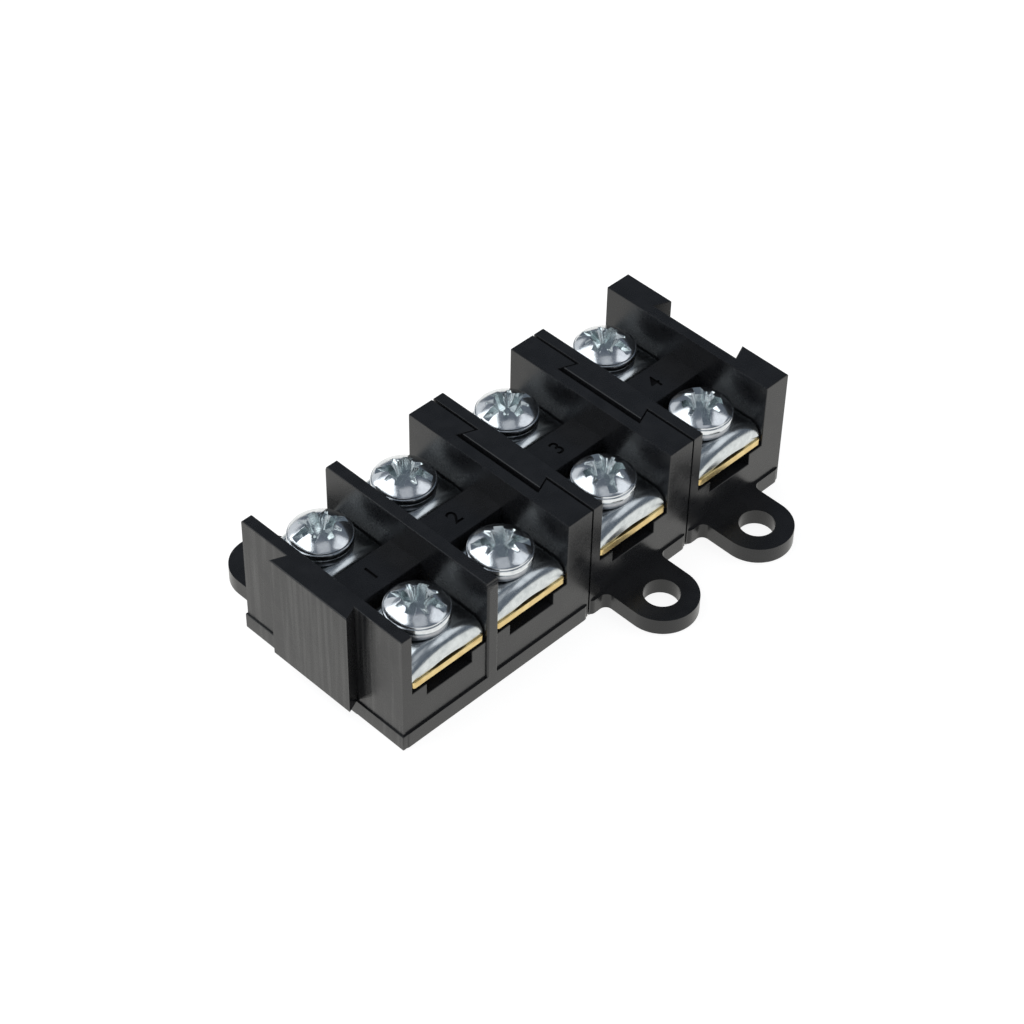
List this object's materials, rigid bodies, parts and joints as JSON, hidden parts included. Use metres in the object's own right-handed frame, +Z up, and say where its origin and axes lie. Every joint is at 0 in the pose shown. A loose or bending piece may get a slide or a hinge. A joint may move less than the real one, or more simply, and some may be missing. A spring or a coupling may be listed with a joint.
{
  "type": "barrier terminal strip",
  "caption": "Black barrier terminal strip of dovetailed housings with mounting ears; each pole has a brass bar under a bridge and screws with spring washers and clamp plates.",
  "frame": {"origin": "centre of the underside of the whole strip, at mid-length, tongue and ears included", "axes": "+X along the strip from the exposed tongue to the open groove, +Y to the rear, +Z up"},
  "size_m": [0.0772, 0.0536, 0.0204],
  "materials": {
    "housing_plastic": "black moulded plastic, satin to glossy",
    "contact_brass": "plain rolled brass",
    "plate_steel": "bright zinc plate on pressed sheet",
    "washer_steel": "zinc plate on spring steel",
    "screw_steel": "bright zinc plate"
  },
  "bodies": {
    "double_module": {"housing_double": "housing_plastic", "contact_bar_1": "contact_brass", "contact_bar_2": "contact_brass"},
    "module_3": {"housing_single_3": "housing_plastic", "contact_bar_3": "contact_brass"},
    "module_4": {"housing_single_4": "housing_plastic", "contact_bar_4": "contact_brass"},
    "clamp_1_front": {"clamp_plate_1_front": "plate_steel", "spring_washer_1_front": "washer_steel"},
    "screw_1_front": {"terminal_screw_1_front": "screw_steel"},
    "clamp_1_rear": {"clamp_plate_1_rear": "plate_steel", "spring_washer_1_rear": "washer_steel"},
    "screw_1_rear": {"terminal_screw_1_rear": "screw_steel"},
    "clamp_2_front": {"clamp_plate_2_front": "plate_steel", "spring_washer_2_front": "washer_steel"},
    "screw_2_front": {"terminal_screw_2_front": "screw_steel"},
    "clamp_2_rear": {"clamp_plate_2_rear": "plate_steel", "spring_washer_2_rear": "washer_steel"},
    "screw_2_rear": {"terminal_screw_2_rear": "screw_steel"},
    "clamp_3_front": {"clamp_plate_3_front": "plate_steel", "spring_washer_3_front": "washer_steel"},
    "screw_3_front": {"terminal_screw_3_front": "screw_steel"},
    "clamp_3_rear": {"clamp_plate_3_rear": "plate_steel", "spring_washer_3_rear": "washer_steel"},
    "screw_3_rear": {"terminal_screw_3_rear": "screw_steel"},
    "clamp_4_front": {"clamp_plate_4_front": "plate_steel", "spring_washer_4_front": "washer_steel"},
    "screw_4_front": {"terminal_screw_4_front": "screw_steel"},
    "clamp_4_rear": {"clamp_plate_4_rear": "plate_steel", "spring_washer_4_rear": "washer_steel"},
    "screw_4_rear": {"terminal_screw_4_rear": "screw_steel"}
  },
  "joints": [
    {"name": "module_3_slide", "type": "slide", "parent": "double_module", "child": "module_3", "axis": [0, 0, 1], "range_m": [0, 0.02]},
    {"name": "module_4_slide", "type": "slide", "parent": "module_3", "child": "module_4", "axis": [0, 0, 1], "range_m": [0, 0.02]},
    {"name": "clamp_1_front_lift", "type": "slide", "parent": "double_module", "child": "clamp_1_front", "axis": [0, 0, 1], "range_m": [0, 0.004]},
    {"name": "screw_1_front_turn", "type": "hinge", "parent": "clamp_1_front", "child": "screw_1_front", "pos_m": [-0.02795, -0.00945, 0.01583], "axis": [0, 0, 1], "range_deg": [0, 1800]},
    {"name": "clamp_1_rear_lift", "type": "slide", "parent": "double_module", "child": "clamp_1_rear", "axis": [0, 0, 1], "range_m": [0, 0.004]},
    {"name": "screw_1_rear_turn", "type": "hinge", "parent": "clamp_1_rear", "child": "screw_1_rear", "pos_m": [-0.02795, 0.00945, 0.01583], "axis": [0, 0, 1], "range_deg": [0, 1800]},
    {"name": "clamp_2_front_lift", "type": "slide", "parent": "double_module", "child": "clamp_2_front", "axis": [0, 0, 1], "range_m": [0, 0.004]},
    {"name": "screw_2_front_turn", "type": "hinge", "parent": "clamp_2_front", "child": "screw_2_front", "pos_m": [-0.01255, -0.00945, 0.01583], "axis": [0, 0, 1], "range_deg": [0, 1800]},
    {"name": "clamp_2_rear_lift", "type": "slide", "parent": "double_module", "child": "clamp_2_rear", "axis": [0, 0, 1], "range_m": [0, 0.004]},
    {"name": "screw_2_rear_turn", "type": "hinge", "parent": "clamp_2_rear", "child": "screw_2_rear", "pos_m": [-0.01255, 0.00945, 0.01583], "axis": [0, 0, 1], "range_deg": [0, 1800]},
    {"name": "clamp_3_front_lift", "type": "slide", "parent": "module_3", "child": "clamp_3_front", "axis": [0, 0, 1], "range_m": [0, 0.004]},
    {"name": "screw_3_front_turn", "type": "hinge", "parent": "clamp_3_front", "child": "screw_3_front", "pos_m": [0.00745, -0.00945, 0.01583], "axis": [0, 0, 1], "range_deg": [0, 1800]},
    {"name": "clamp_3_rear_lift", "type": "slide", "parent": "module_3", "child": "clamp_3_rear", "axis": [0, 0, 1], "range_m": [0, 0.004]},
    {"name": "screw_3_rear_turn", "type": "hinge", "parent": "clamp_3_rear", "child": "screw_3_rear", "pos_m": [0.00745, 0.00945, 0.01583], "axis": [0, 0, 1], "range_deg": [0, 1800]},
    {"name": "clamp_4_front_lift", "type": "slide", "parent": "module_4", "child": "clamp_4_front", "axis": [0, 0, 1], "range_m": [0, 0.004]},
    {"name": "screw_4_front_turn", "type": "hinge", "parent": "clamp_4_front", "child": "screw_4_front", "pos_m": [0.02745, -0.00945, 0.01583], "axis": [0, 0, 1], "range_deg": [0, 1800]},
    {"name": "clamp_4_rear_lift", "type": "slide", "parent": "module_4", "child": "clamp_4_rear", "axis": [0, 0, 1], "range_m": [0, 0.004]},
    {"name": "screw_4_rear_turn", "type": "hinge", "parent": "clamp_4_rear", "child": "screw_4_rear", "pos_m": [0.02745, 0.00945, 0.01583], "axis": [0, 0, 1], "range_deg": [0, 1800]}
  ],
  "couplings": [
    {"joint": "screw_1_front_turn", "follows": "clamp_1_front_lift", "rad_per_m": 7854},
    {"joint": "screw_1_rear_turn", "follows": "clamp_1_rear_lift", "rad_per_m": 7854},
    {"joint": "screw_2_front_turn", "follows": "clamp_2_front_lift", "rad_per_m": 7854},
    {"joint": "screw_2_rear_turn", "follows": "clamp_2_rear_lift", "rad_per_m": 7854},
    {"joint": "screw_3_front_turn", "follows": "clamp_3_front_lift", "rad_per_m": 7854},
    {"joint": "screw_3_rear_turn", "follows": "clamp_3_rear_lift", "rad_per_m": 7854},
    {"joint": "screw_4_front_turn", "follows": "clamp_4_front_lift", "rad_per_m": 7854},
    {"joint": "screw_4_rear_turn", "follows": "clamp_4_rear_lift", "rad_per_m": 7854}
  ]
}
